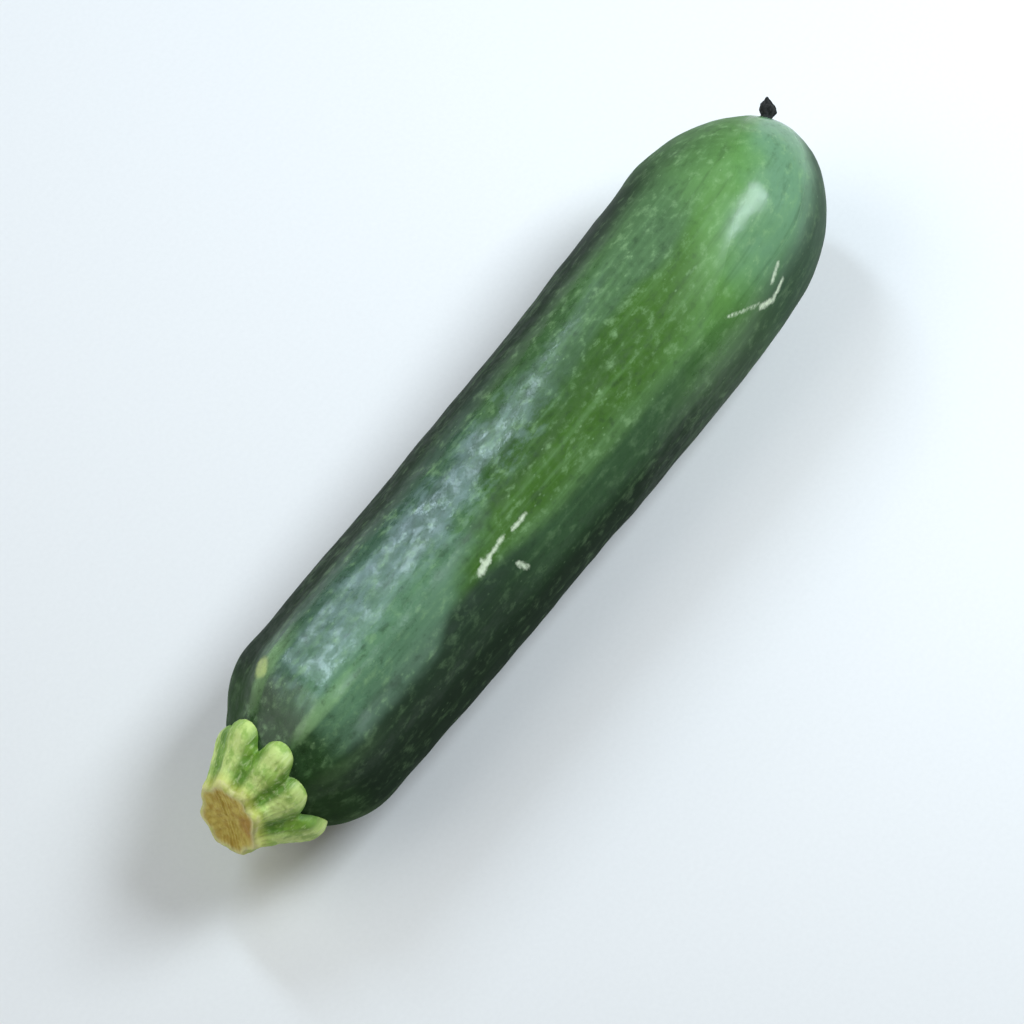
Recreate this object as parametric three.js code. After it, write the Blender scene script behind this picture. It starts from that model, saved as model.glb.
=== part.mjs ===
// A courgette that lies on its belly: the fruit, its cut stem and the dried remnant of its flower.
// Millimetres, +Z up. The stem points to -X and the blossom end to +X.
import * as THREE from "three";
import { mergeVertices } from "three/addons/utils/BufferGeometryUtils.js";

const { clamp, degToRad, lerp, radToDeg, smoothstep } = THREE.MathUtils;

// Fruit. Places along it are measured along its spine, from the stem end.
const FRUIT_LENGTH = 204.5;
const SHOULDER_RADIUS = 21.5;
const MIDDLE_RADIUS = 23.6;
const BLOSSOM_RADIUS = 24;
const SHOULDER_LENGTH = 22.8;
const SHOULDER_POWER = 1.6;
const BLOSSOM_LENGTH = 31.6;
const BLOSSOM_POWER = 1.87;

// Spine: straight, with the stem end lifted and the blossom end hooked to the side and up.
const HOOK_SIDE = degToRad(23);
const HOOK_UP = degToRad(17);
const HOOK_LENGTH = 70;
const STEM_END_LIFT = degToRad(8);
const STEM_END_LENGTH = 45;
const SPINE_STEP = 0.5;

// The shoulder is slanted: it sits this much further along the spine on its +Y side.
const SLANT = 4;
const SLANT_LENGTH = 50;

// Belly: it bows by BELLY_BOW over BELLY_REACH either way, and is pressed flat where it rests.
const BELLY_MIDDLE = 100;
const BELLY_REACH = 60;
const BELLY_BOW = 0.8;
const FLAT_DEPTH = 0.45;

// Stem: a stub that bends up, with a ridge for each lobe that it spreads over the shoulder.
// Each lobe has its direction round the spine, in degrees, how far out from the spine it reaches, and
// how far out the cleft between it and the next lobe starts.
const LOBES = [
  { angle: 10, reach: 13.6, cleft: 13 },
  { angle: 59, reach: 14.8, cleft: 11.6 },
  { angle: 104, reach: 15.8, cleft: 12.8 },
  { angle: 137, reach: 14.2, cleft: 11.8 },
  { angle: 190, reach: 16.2, cleft: 12.6 },
  { angle: 232, reach: 15.2, cleft: 12 },
  { angle: 278, reach: 15.2, cleft: 12.6 },
  { angle: 322, reach: 14.2, cleft: 11.8 },
];
const STEM_LENGTH = 8;
const STEM_BEND_UP = degToRad(17);
const STEM_BEND_SIDE = degToRad(-4);
const CUT_RADIUS = 8;
const CUT_RIDGE = 1;
const CUT_DISH = 0.6;
const CUT_BEVEL = 0.8;
const NECK_RADIUS = 8.4;
const NECK_RIDGE = 1.3;
const FLARE_POWER = 1.35;
const CLEFT_SHARPNESS = 2.4;
const LOBE_THICKNESS = 3;
const LOBE_ROUNDING = 2.6;
const CLEFT_THICKNESS = 1.6;

// The stem's ridges run on as ribs of the fruit, which sink to a faint trace along its body.
const RIB_HEIGHT = 0.7;
const RIB_TRACE = 0.15;
const RIB_START = 4;
const RIB_FULL = 18;
const RIB_SUNK = 95;

// Remnant of the flower: a shrivelled knob with a narrow foot and a leaning point.
const REMNANT_HEIGHT = 5;
const REMNANT_FOOT = 1.5;
const REMNANT_WAIST = 1.2;
const REMNANT_WAIST_AT = 1;
const REMNANT_KNOB = 2.1;
const REMNANT_KNOB_AT = 2.25;
const REMNANT_POINT = 1.6;
const REMNANT_LEAN = 0.9;
const REMNANT_FOLDS = 5;
const REMNANT_FOLD_DEPTH = 0.16;

// Clearance between the pieces, measured along the spine.
const GAP = 0.4;

// Fineness of the surfaces
const FRUIT_SIDES = 72;
const SHOULDER_RINGS = 11;
const BODY_RINGS = 15;
const BLOSSOM_RINGS = 14;
const STEM_SIDES = 96;
const REMNANT_SIDES = 30;
const REMNANT_CURVE_STEPS = 5;

// Spine of the fruit
function spineDirection(s) {
  const hook = clamp(1 - (FRUIT_LENGTH - s) / HOOK_LENGTH, 0, 1) ** 2;
  const lift = 1 - smoothstep(s, 0, STEM_END_LENGTH);
  const heading = HOOK_SIDE * hook;
  const pitch = HOOK_UP * hook - STEM_END_LIFT * lift;
  return new THREE.Vector3(
    Math.cos(heading) * Math.cos(pitch),
    Math.sin(heading) * Math.cos(pitch),
    Math.sin(pitch),
  );
}

const spine = [new THREE.Vector3()];
for (let s = 0; s < FRUIT_LENGTH; s += SPINE_STEP) {
  const step = spineDirection(s + SPINE_STEP / 2).multiplyScalar(SPINE_STEP);
  spine.push(spine.at(-1).clone().add(step));
}
const levelHeight = spine[Math.round(BELLY_MIDDLE / SPINE_STEP)].z;

// Radius of the fruit's body before its ends round off
function girth(s) {
  const t = s / FRUIT_LENGTH;
  const swell = MIDDLE_RADIUS - (SHOULDER_RADIUS + BLOSSOM_RADIUS) / 2;
  return lerp(SHOULDER_RADIUS, BLOSSOM_RADIUS, t) + swell * 4 * t * (1 - t);
}

function fruitRadius(s) {
  const shoulder = clamp(1 - s / SHOULDER_LENGTH, 0, 1);
  const blossom = clamp(1 - (FRUIT_LENGTH - s) / BLOSSOM_LENGTH, 0, 1);
  const rounding = (1 - shoulder ** SHOULDER_POWER) * (1 - blossom ** BLOSSOM_POWER);
  return girth(s) * Math.sqrt(rounding);
}

// Cross-section frame at a place on the spine: side and up span the section, along is its normal
function frameAt(s) {
  const inside = clamp(s, 0, FRUIT_LENGTH);
  const index = Math.min(Math.floor(inside / SPINE_STEP), spine.length - 2);
  const centre = spine[index].clone().lerp(spine[index + 1], inside / SPINE_STEP - index);
  const along = spineDirection(inside);
  const bow = BELLY_BOW * ((inside - BELLY_MIDDLE) / BELLY_REACH) ** 2;
  centre.z += girth(inside) - levelHeight + bow - FLAT_DEPTH;
  centre.addScaledVector(along, s - inside);
  const side = new THREE.Vector3(0, 0, 1).cross(along).normalize();
  const up = along.clone().cross(side);
  const slant = (SLANT / girth(inside)) * (1 - smoothstep(inside, 0, SLANT_LENGTH));
  side.addScaledVector(along, slant);
  return { centre, along, side, up };
}

function pointAround({ centre, side, up }, angle, radius) {
  return centre
    .clone()
    .addScaledVector(side, radius * Math.cos(angle))
    .addScaledVector(up, radius * Math.sin(angle));
}

// A lathed form whose vertices are placed again: place(ring, angle) gives the point of a profile ring
function reshapedLathe(profile, sides, place) {
  const geometry = new THREE.LatheGeometry(profile, sides);
  geometry.deleteAttribute("normal");
  geometry.deleteAttribute("uv");
  const position = geometry.getAttribute("position");
  for (let i = 0; i < position.count; i++) {
    const ring = i % profile.length;
    const turn = Math.floor(i / profile.length) % sides;
    const point = place(ring, (turn / sides) * 2 * Math.PI);
    position.setXYZ(i, point.x, point.y, point.z);
  }
  const merged = mergeVertices(geometry, 1e-4);
  merged.computeVertexNormals();
  return merged;
}

// Where a direction lies between two lobes: the nearer lobe, where the cleft between them starts, and
// how far off the lobe the direction is, from 0 to 1 in the cleft
function lobeAt(angle) {
  const degrees = radToDeg(angle) % 360;
  const next = LOBES.findIndex((lobe) => lobe.angle > degrees);
  const after = LOBES.at(next === -1 ? 0 : next);
  const before = LOBES.at(next === -1 ? -1 : next - 1);
  const gap = (after.angle - before.angle + 360) % 360;
  const share = ((degrees - before.angle + 360) % 360) / gap;
  const lobe = share < 0.5 ? before : after;
  return { lobe, cleft: before.cleft, off: 2 * Math.min(share, 1 - share) };
}

// Fruit
function ribHeight(s, angle) {
  const rise = smoothstep(s, RIB_START, RIB_FULL);
  const blossom = smoothstep(FRUIT_LENGTH - s, 0, BLOSSOM_LENGTH);
  const height = lerp(RIB_HEIGHT, RIB_TRACE, smoothstep(s, RIB_FULL, RIB_SUNK));
  return height * rise * blossom * Math.cos(Math.PI * lobeAt(angle).off);
}

// Places of the fruit's rings: close together where its ends round off
function fruitStations() {
  const stations = [];
  for (let i = 0; i < SHOULDER_RINGS; i++) {
    const turn = ((i / SHOULDER_RINGS) * Math.PI) / 2;
    stations.push(SHOULDER_LENGTH * (1 - Math.cos(turn)));
  }
  const straight = FRUIT_LENGTH - SHOULDER_LENGTH - BLOSSOM_LENGTH;
  for (let i = 0; i < BODY_RINGS; i++) {
    stations.push(SHOULDER_LENGTH + (straight * i) / BODY_RINGS);
  }
  for (let i = 0; i <= BLOSSOM_RINGS; i++) {
    const turn = ((i / BLOSSOM_RINGS) * Math.PI) / 2;
    stations.push(FRUIT_LENGTH - BLOSSOM_LENGTH * (1 - Math.sin(turn)));
  }
  return stations;
}

function fruitGeometry() {
  const stations = fruitStations();
  const profile = stations.map((s) => new THREE.Vector2(fruitRadius(s), s));
  return reshapedLathe(profile, FRUIT_SIDES, (ring, angle) => {
    const s = stations[ring];
    const radius = fruitRadius(s);
    const point = pointAround(frameAt(s), angle, radius > 0 ? radius + ribHeight(s, angle) : 0);
    point.z = Math.max(point.z, 0);
    return point;
  });
}

// Place on the spine where the fruit's shoulder, or its blossom end, has the given radius
function shoulderAt(radius) {
  let s = 0;
  for (let i = 0; i < 4; i++) {
    const share = 1 - (radius / girth(s)) ** 2;
    s = SHOULDER_LENGTH * (1 - share ** (1 / SHOULDER_POWER));
  }
  return s;
}

// Direction that points straight out of the shoulder's skin, in the same two coordinates
function shoulderNormal(radius) {
  const step = 0.1;
  const slope = (shoulderAt(radius + step) - shoulderAt(radius - step)) / (2 * step);
  const length = Math.hypot(1, slope);
  return { radius: slope / length, s: -1 / length };
}

function blossomAt(radius) {
  const share = 1 - (radius / girth(FRUIT_LENGTH)) ** 2;
  return FRUIT_LENGTH - BLOSSOM_LENGTH * (1 - share ** (1 / BLOSSOM_POWER));
}

// Stem
function stemFrame(s) {
  const frame = frameAt(Math.max(s, 0));
  const beyond = Math.max(-s, 0);
  if (beyond === 0) return frame;
  const bendUp = (STEM_BEND_UP * beyond) / STEM_LENGTH;
  const bendSide = (STEM_BEND_SIDE * beyond) / STEM_LENGTH;
  const bent = Math.hypot(bendUp, bendSide);
  const lean = frame.up.clone().multiplyScalar(bendUp).addScaledVector(frame.side, bendSide).normalize();
  const axis = lean.clone().cross(frame.along).normalize();
  const arc = beyond / bent;
  const centre = frame.centre
    .clone()
    .addScaledVector(frame.along, -arc * Math.sin(bent))
    .addScaledVector(lean, arc * (1 - Math.cos(bent)));
  const turned = (vector) => vector.clone().applyAxisAngle(axis, bent);
  return { centre, along: turned(frame.along), side: turned(frame.side), up: turned(frame.up) };
}

// Rings of the stem: the cut face, its bevel, the flaring neck, the lobes' round ends and the underside
const CUT_SHARES = [0, 0.35, 0.7, 1];
const NECK_SHARES = [0.04, 0.18, 0.32, 0.46, 0.6, 0.73, 0.87];
const END_SHARES = [0, 0.25, 0.5, 0.75, 1];
const UNDER_SHARES = [0.75, 0.45, 0.2, 0];

function stemMeridian(angle) {
  const { lobe, cleft, off } = lobeAt(angle);
  const crest = 1 - off ** CLEFT_SHARPNESS;
  const ridge = Math.cos(Math.PI * off) / 2;
  const neck = NECK_RADIUS + NECK_RIDGE * ridge;
  const cut = CUT_RADIUS + CUT_RIDGE * ridge;
  const reach = lerp(cleft, lobe.reach, crest);
  const thickness = lerp(CLEFT_THICKNESS, LOBE_THICKNESS, crest);
  const end = END_SHARES.map((share) => {
    const turn = (share * Math.PI) / 2;
    const under = reach - LOBE_ROUNDING * crest * (1 - Math.sin(turn));
    const normal = shoulderNormal(under);
    const height = thickness * Math.cos(turn);
    return { radius: under + normal.radius * height, s: shoulderAt(under) + normal.s * height - GAP };
  });
  const brow = end[0];
  const face = CUT_SHARES.map((share) => ({
    radius: cut * share,
    s: -STEM_LENGTH + CUT_DISH * (1 - share ** 2),
  }));
  const flare = NECK_SHARES.map((share) => ({
    radius: neck + (brow.radius - neck) * share ** FLARE_POWER,
    s: lerp(-STEM_LENGTH + CUT_BEVEL, brow.s, share),
  }));
  const under = UNDER_SHARES.map((share) => ({
    radius: reach * share,
    s: shoulderAt(reach * share) - GAP,
  }));
  return [...face, ...flare, ...end, ...under];
}

function stemGeometry() {
  const profile = stemMeridian(0).map(({ radius, s }) => new THREE.Vector2(radius, s));
  return reshapedLathe(profile, STEM_SIDES, (ring, angle) => {
    const { radius, s } = stemMeridian(angle)[ring];
    return pointAround(stemFrame(s), angle, radius);
  });
}

// Remnant of the flower
function remnantProfile() {
  const knobAt = FRUIT_LENGTH + REMNANT_KNOB_AT;
  const tip = FRUIT_LENGTH + GAP + REMNANT_HEIGHT;
  const outline = new THREE.Path();
  outline.moveTo(REMNANT_FOOT, blossomAt(REMNANT_FOOT) + GAP);
  outline.quadraticCurveTo(REMNANT_WAIST, FRUIT_LENGTH + REMNANT_WAIST_AT, REMNANT_KNOB, knobAt);
  outline.bezierCurveTo(REMNANT_KNOB, knobAt + 1, REMNANT_KNOB / 3, tip - REMNANT_POINT, 0, tip);
  return [new THREE.Vector2(0, FRUIT_LENGTH + GAP), ...outline.getPoints(REMNANT_CURVE_STEPS)];
}

function remnantGeometry() {
  const profile = remnantProfile();
  return reshapedLathe(profile, REMNANT_SIDES, (ring, angle) => {
    const { x: radius, y: s } = profile[ring];
    const height = clamp((s - FRUIT_LENGTH) / REMNANT_HEIGHT, 0, 1);
    const fold = 1 + REMNANT_FOLD_DEPTH * height * Math.cos(REMNANT_FOLDS * angle);
    const frame = frameAt(s);
    frame.centre.addScaledVector(frame.side, REMNANT_LEAN * height ** 2);
    return pointAround(frame, angle, radius * fold);
  });
}

function finish(color, roughness) {
  return new THREE.MeshStandardMaterial({ color, roughness, metalness: 0 });
}

function piece(name, geometry, material) {
  const mesh = new THREE.Mesh(geometry, material);
  mesh.name = name;
  return mesh;
}

const courgette = new THREE.Group();
courgette.add(piece("fruit", fruitGeometry(), finish("#3a5f35", 0.35)));
courgette.add(piece("stem", stemGeometry(), finish("#b4d07c", 0.6)));
courgette.add(piece("flower_remnant", remnantGeometry(), finish("#14160f", 0.85)));

// The origin is under the middle of the courgette's box, on the surface that it rests on.
const middle = new THREE.Box3().setFromObject(courgette).getCenter(new THREE.Vector3());
courgette.position.set(-middle.x, -middle.y, 0);

const part = new THREE.Group();
part.add(courgette);

export default part;
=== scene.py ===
# %% [markdown]
# # A courgette, modelled straight and then bent
#
# A courgette is a smooth, slightly ribbed fruit with a cut stub of stem at one end and a dried scrap
# of its flower at the other. Its solids are already packed, so the first step loads them: they give
# the place and the size of every piece, and each piece made here takes the place of one of them.

# %% Load the solids
import math

import bpy
import numpy as np
from mathutils import Matrix, Vector
from mathutils.bvhtree import BVHTree


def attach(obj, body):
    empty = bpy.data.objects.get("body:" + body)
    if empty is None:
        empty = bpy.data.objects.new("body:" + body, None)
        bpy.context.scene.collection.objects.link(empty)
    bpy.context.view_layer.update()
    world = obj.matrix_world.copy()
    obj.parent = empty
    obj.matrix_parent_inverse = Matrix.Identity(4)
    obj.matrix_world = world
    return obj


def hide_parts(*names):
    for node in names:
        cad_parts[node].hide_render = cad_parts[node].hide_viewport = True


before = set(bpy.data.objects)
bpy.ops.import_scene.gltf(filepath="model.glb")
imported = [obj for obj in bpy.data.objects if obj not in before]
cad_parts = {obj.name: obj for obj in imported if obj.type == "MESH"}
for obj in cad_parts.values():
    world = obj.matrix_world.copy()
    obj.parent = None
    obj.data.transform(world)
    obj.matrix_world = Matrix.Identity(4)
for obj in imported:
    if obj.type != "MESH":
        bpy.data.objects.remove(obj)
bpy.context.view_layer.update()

# %% [markdown]
# ## Hand tools
#
# Blender works in metres, and a courgette is easier to think of in millimetres, so these helpers
# read and move a piece's vertices in millimetres. A modifier is added and applied at once, the way
# it is done by hand when its result is going to be shaped further.

# %% Helpers for shaping
MM = 0.001


def points_of(piece):
    flat = np.empty(3 * len(piece.data.vertices))
    piece.data.vertices.foreach_get("co", flat)
    return flat.reshape(-1, 3) / MM


def move_points(piece, points):
    piece.data.vertices.foreach_set("co", (points * MM).ravel())
    piece.data.update()


def apply_modifier(piece, name, kind, **settings):
    modifier = piece.modifiers.new(name, kind)
    for key, value in settings.items():
        setattr(modifier, key, value)
    bpy.ops.object.select_all(action="DESELECT")
    piece.select_set(True)
    bpy.context.view_layer.objects.active = piece
    bpy.ops.object.modifier_apply(modifier=modifier.name)


def fade(values, low, high):
    share = np.clip((values - low) / (high - low), 0, 1)
    return share * share * (3 - 2 * share)


# %% [markdown]
# ## The spine
#
# Every part of the courgette follows one line: it comes down out of the bent stem, runs straight
# along the belly, and hooks to the side and up at the blossom end. Ring by ring turning would also
# give that bend. A Curve modifier is simpler: each piece is made straight, along X, and is laid on
# this line afterwards. Places along the fruit are counted from its stem end, so the stem is negative.

# %% Spine curve
FRUIT_LENGTH = 204.5
STEM_LENGTH = 8.0
SPINE_START = np.array([-97.927, -0.826, 0.0])
SPINE_STEP = 0.5
HOOK_SIDE = math.radians(23)
HOOK_UP = math.radians(17)
HOOK_LENGTH = 70.0
STEM_END_LIFT = math.radians(8)
STEM_END_LENGTH = 45.0
STEM_BEND_UP = math.radians(17)
STEM_BEND_SIDE = math.radians(4)


def spine_direction(s):
    hook = np.clip(1 - (FRUIT_LENGTH - s) / HOOK_LENGTH, 0, 1) ** 2
    lift = 1 - fade(s, 0, STEM_END_LENGTH)
    stem = np.clip(-s / STEM_LENGTH, 0, 1)
    heading = HOOK_SIDE * hook + STEM_BEND_SIDE * stem
    pitch = HOOK_UP * hook - STEM_END_LIFT * lift - STEM_BEND_UP * stem
    level = np.cos(pitch)
    return np.stack([np.cos(heading) * level, np.sin(heading) * level, np.sin(pitch)], axis=-1)


spine_places = np.arange(-STEM_LENGTH, FRUIT_LENGTH + SPINE_STEP / 2, SPINE_STEP)
spine_steps = spine_direction(spine_places[:-1] + SPINE_STEP / 2) * SPINE_STEP
spine_line = np.vstack([np.zeros(3), np.cumsum(spine_steps, axis=0)])
spine_line += SPINE_START - spine_line[round(STEM_LENGTH / SPINE_STEP)]

spine_data = bpy.data.curves.new("spine", "CURVE")
spine_data.dimensions = "3D"
spine_data.twist_mode = "Z_UP"
spine_path = spine_data.splines.new("POLY")
spine_path.points.add(len(spine_line) - 1)
spine_path.points.foreach_set("co", np.insert(spine_line * MM, 3, 1, axis=1).ravel())
spine = bpy.data.objects.new("spine", spine_data)
bpy.context.scene.collection.objects.link(spine)
print("spine:", len(spine_line), "points, ends at", spine_line[-1].round(1), "mm")

# %% [markdown]
# ## Drawing a piece out of a ring
#
# The fruit, the stem and the flower's remnant are all long round forms. By hand, such a form starts
# as a circle that is extruded and scaled from place to place, and each end is extruded once more and
# merged to a point. The same few operators make all three, from a list of places and radii.

# %% Draw out a ring
def draw_out(name, outline, sides):
    (first_end, _), (place, radius), *others, (last_end, _) = outline
    bpy.ops.object.select_all(action="DESELECT")
    bpy.ops.mesh.primitive_circle_add(
        vertices=sides,
        radius=radius * MM,
        location=(place * MM, 0, 0),
        rotation=(0, math.pi / 2, 0),
    )
    bpy.ops.object.transform_apply()
    piece = bpy.context.object
    piece.name = name
    piece.data.name = name
    first_place = place
    bpy.ops.object.mode_set(mode="EDIT")
    for next_place, next_radius in others:
        bpy.ops.mesh.extrude_region_move(
            TRANSFORM_OT_translate={"value": ((next_place - place) * MM, 0, 0)}
        )
        grow = next_radius / radius
        bpy.ops.transform.resize(value=(1, grow, grow), center_override=(next_place * MM, 0, 0))
        place, radius = next_place, next_radius
    close_end(last_end - place)
    bpy.ops.mesh.select_non_manifold(extend=False)
    close_end(first_end - first_place)
    bpy.ops.mesh.select_all(action="SELECT")
    bpy.ops.mesh.normals_make_consistent(inside=False)
    bpy.ops.object.mode_set(mode="OBJECT")
    bpy.ops.object.shade_smooth()
    return piece


def close_end(reach):
    bpy.ops.mesh.extrude_region_move(TRANSFORM_OT_translate={"value": (reach * MM, 0, 0)})
    bpy.ops.mesh.merge(type="CENTER")


# %% [markdown]
# ## The fruit
#
# The fruit is widest near its blossom end, with a shoulder that rounds off quickly at the stem and a
# longer, blunter dome at the blossom. The rings stand close together where the ends round off and far
# apart along the body. Two rounds of subdivision then give a mesh fine enough for scratches.

# %% Straight fruit
SHOULDER_RADIUS = 21.5
MIDDLE_RADIUS = 23.6
BLOSSOM_RADIUS = 24.0
SHOULDER_LENGTH = 22.8
SHOULDER_POWER = 1.6
BLOSSOM_LENGTH = 31.6
BLOSSOM_POWER = 1.87
FRUIT_SIDES = 72
SHOULDER_RINGS = 20
BODY_RINGS = 38
BLOSSOM_RINGS = 22


def girth(s):
    t = s / FRUIT_LENGTH
    swell = MIDDLE_RADIUS - (SHOULDER_RADIUS + BLOSSOM_RADIUS) / 2
    return SHOULDER_RADIUS + (BLOSSOM_RADIUS - SHOULDER_RADIUS) * t + swell * 4 * t * (1 - t)


def fruit_radius(s):
    shoulder = np.clip(1 - s / SHOULDER_LENGTH, 0, 1)
    blossom = np.clip(1 - (FRUIT_LENGTH - s) / BLOSSOM_LENGTH, 0, 1)
    rounding = (1 - shoulder**SHOULDER_POWER) * (1 - blossom**BLOSSOM_POWER)
    return girth(s) * np.sqrt(rounding)


shoulder_turn = np.linspace(0, math.pi / 2, SHOULDER_RINGS, endpoint=False)
blossom_turn = np.linspace(0, math.pi / 2, BLOSSOM_RINGS + 1)
body_ends = SHOULDER_LENGTH, FRUIT_LENGTH - BLOSSOM_LENGTH
fruit_places = np.concatenate([
    SHOULDER_LENGTH * (1 - np.cos(shoulder_turn)),
    np.linspace(*body_ends, BODY_RINGS, endpoint=False),
    FRUIT_LENGTH - BLOSSOM_LENGTH * (1 - np.sin(blossom_turn)),
])
fruit_outline = [(float(s), float(fruit_radius(s))) for s in fruit_places]
fruit = draw_out("courgette_fruit", fruit_outline, FRUIT_SIDES)
apply_modifier(fruit, "smooth", "SUBSURF", levels=2, render_levels=2)
print("fruit:", len(fruit.data.polygons), "faces")

# %% [markdown]
# ## Ribs and lumps
#
# Each ridge of the stem runs on as a blunt rib of the fruit. The ribs are plain to see at the
# shoulder, where the skin also sinks in a collar round the stem, and fade along the body. The inner
# side of the hook swells a little. Sculpting would do it; moving the vertices by a formula keeps the
# ribs in line with the stem's lobes. The slow lumps that no real fruit is without come from a Displace
# modifier with a cloud texture.

# %% Ribs, collar and swelling
LOBE_ANGLES = np.array([10, 59, 104, 137, 190, 232, 278, 322.0])
LOBE_REACH = np.array([13.6, 14.8, 15.8, 14.2, 16.2, 15.2, 15.2, 14.2])
CLEFT_REACH = np.array([13.0, 11.6, 12.8, 11.8, 12.6, 12.0, 12.6, 11.8])
RIB_HEIGHT = 0.7
RIB_TRACE = 0.15
RIB_START = 4.0
RIB_FULL = 18.0
RIB_SUNK = 95.0
COLLAR_RADIUS = 16.6
COLLAR_WIDTH = 1.5
COLLAR_DEPTH = 0.3
SWELL_HEIGHT = 1.6
SWELL_PLACE = 152.0
SWELL_LENGTH = 24.0
SWELL_ANGLE = math.radians(18)


def nearest_lobe(angle):
    degrees = np.degrees(angle) % 360
    after = np.searchsorted(LOBE_ANGLES, degrees, side="right") % len(LOBE_ANGLES)
    before = after - 1
    gap = (LOBE_ANGLES[after] - LOBE_ANGLES[before]) % 360
    share = ((degrees - LOBE_ANGLES[before]) % 360) / gap
    lobe = np.where(share < 0.5, before, after)
    return lobe, before, 2 * np.minimum(share, 1 - share)


straight = points_of(fruit)
s = straight[:, 0]
angle = np.arctan2(straight[:, 2], straight[:, 1])
radius = np.hypot(straight[:, 1], straight[:, 2])
rib_height = RIB_HEIGHT + (RIB_TRACE - RIB_HEIGHT) * fade(s, RIB_FULL, RIB_SUNK)
rib_height *= fade(s, RIB_START, RIB_FULL) * fade(FRUIT_LENGTH - s, 0, BLOSSOM_LENGTH)
ribs = rib_height * np.cos(math.pi * nearest_lobe(angle)[2])
at_stem = s < SHOULDER_LENGTH
collar = at_stem * np.exp(-(((radius - COLLAR_RADIUS) / COLLAR_WIDTH) ** 2))
swell = np.exp(-(((s - SWELL_PLACE) / SWELL_LENGTH) ** 2)) * fade(np.cos(angle - SWELL_ANGLE), 0, 1)
relief = ribs + SWELL_HEIGHT * swell - COLLAR_DEPTH * collar
straight[:, 1:] *= (1 + relief / np.maximum(radius, 1))[:, None]
move_points(fruit, straight)
print("ribs stand out by up to", ribs.max().round(2), "mm")

# %% Slow lumps and fine dents
# the size of the lumps and how far they stand out, in millimetres
FRUIT_LUMPS = [("slow_lumps", 28.0, 0.9), ("shallow_dents", 12.0, 0.22), ("fine_dents", 6.0, 0.2)]


def cloud(name, size, depth=1):
    texture = bpy.data.textures.new(name, "CLOUDS")
    texture.noise_scale = size * MM
    texture.noise_depth = depth
    return texture


def crumple(piece, texture, height):
    apply_modifier(
        piece, "crumple", "DISPLACE", texture=texture, strength=height * MM, texture_coords="LOCAL"
    )


for lumps, size, height in FRUIT_LUMPS:
    crumple(fruit, cloud(lumps, size), height)
print("fruit: crumpled by", ", ".join(lumps for lumps, _, _ in FRUIT_LUMPS))

# %% [markdown]
# ## Scuffs and a scar
#
# A courgette is scratched by its own bristly leaves, and the scratches heal to pale cork. Each one is
# a short stroke on the unrolled skin. How near a vertex is to a stroke is kept in an attribute, which
# sinks the skin a little here and colours it later. The ribs are kept in an attribute in the same way.

# %% Scuffs, scar and ribs as attributes
# both ends of each stroke, as a place along and a direction round the fruit, and its width
SCUFFS = [
    ((66.8, 121), (69.0, 119.5), 0.45),
    ((69.0, 119.5), (76.5, 117), 0.02),
    ((70.2, 120), (69.2, 116.5), 0.15),
    ((79.1, 118.6), (83.5, 118.6), 0.05),
    ((75.6, 139), (74.6, 134), 0.3),
    ((150.6, 134), (159.4, 147), -0.12),
    ((159.4, 150), (162.9, 154), 0.3),
    ((162.9, 154), (167.4, 151), 0.1),
    ((164.7, 145), (169.1, 141), -0.05),
    ((131.0, 214), (139.0, 221), 0.0),
    ((58.0, 305), (63.0, 298), 0.1),
    ((96.0, 338), (99.0, 345), 0.0),
]
SCAR = (17.2, 55.5), (18.8, 53.0), 1.2
MARK_EDGE = 2.5
SCUFF_DEPTH = 0.15


def keep_values(piece, name, values):
    kind, key = ("FLOAT_VECTOR", "vector") if values.ndim == 2 else ("FLOAT", "value")
    attribute = piece.data.attributes.new(name, kind, "POINT")
    attribute.data.foreach_set(key, values.astype(np.float32).ravel())


def nearness(stroke, places, angles, radii):
    (first_place, first_angle), (last_place, last_angle), width = stroke
    turn = (np.degrees(angles) - first_angle + 180) % 360 - 180
    spot = np.stack([places - first_place, np.radians(turn) * radii], axis=1)
    line = np.stack([
        np.full_like(radii, last_place - first_place),
        np.radians(last_angle - first_angle) * radii,
    ], axis=1)
    share = np.clip((spot * line).sum(axis=1) / (line * line).sum(axis=1), 0, 1)
    distance = np.linalg.norm(spot - share[:, None] * line, axis=1)
    return np.clip(1 - (distance - width) / MARK_EDGE, 0, 1)


scuffs = np.max([nearness(stroke, s, angle, radius) for stroke in SCUFFS], axis=0)
scar = nearness(SCAR, s, angle, radius)
keep_values(fruit, "scuff", scuffs)
keep_values(fruit, "scar", scar)
keep_values(fruit, "rib", np.cos(math.pi * nearest_lobe(angle)[2]))
sunk = points_of(fruit)
marks = fade(np.maximum(scuffs, scar), 0.6, 1.0)
sunk[:, 1:] *= (1 - SCUFF_DEPTH * marks / np.maximum(radius, 1))[:, None]
move_points(fruit, sunk)
print("scuffs:", len(SCUFFS), "over", int((marks > 0.5).sum()), "vertices")

# %% [markdown]
# ## Laying a piece on the spine
#
# Before it is bent, each piece keeps its straight form in an attribute named grown, in millimetres.
# The colours read it later, so streaks follow the fruit round its bend. Then the shoulder is slanted,
# the Curve modifier bends the piece, and it is lifted until its belly just touches the ground.

# %% Bend and settle
SLANT = 4.0
SLANT_LENGTH = 50.0
BELLY_MIDDLE = 100.0
BELLY_REACH = 60.0
BELLY_BOW = 0.8
FLAT_DEPTH = 0.45
middle_height = np.interp(BELLY_MIDDLE, spine_places, spine_line[:, 2])


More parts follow.
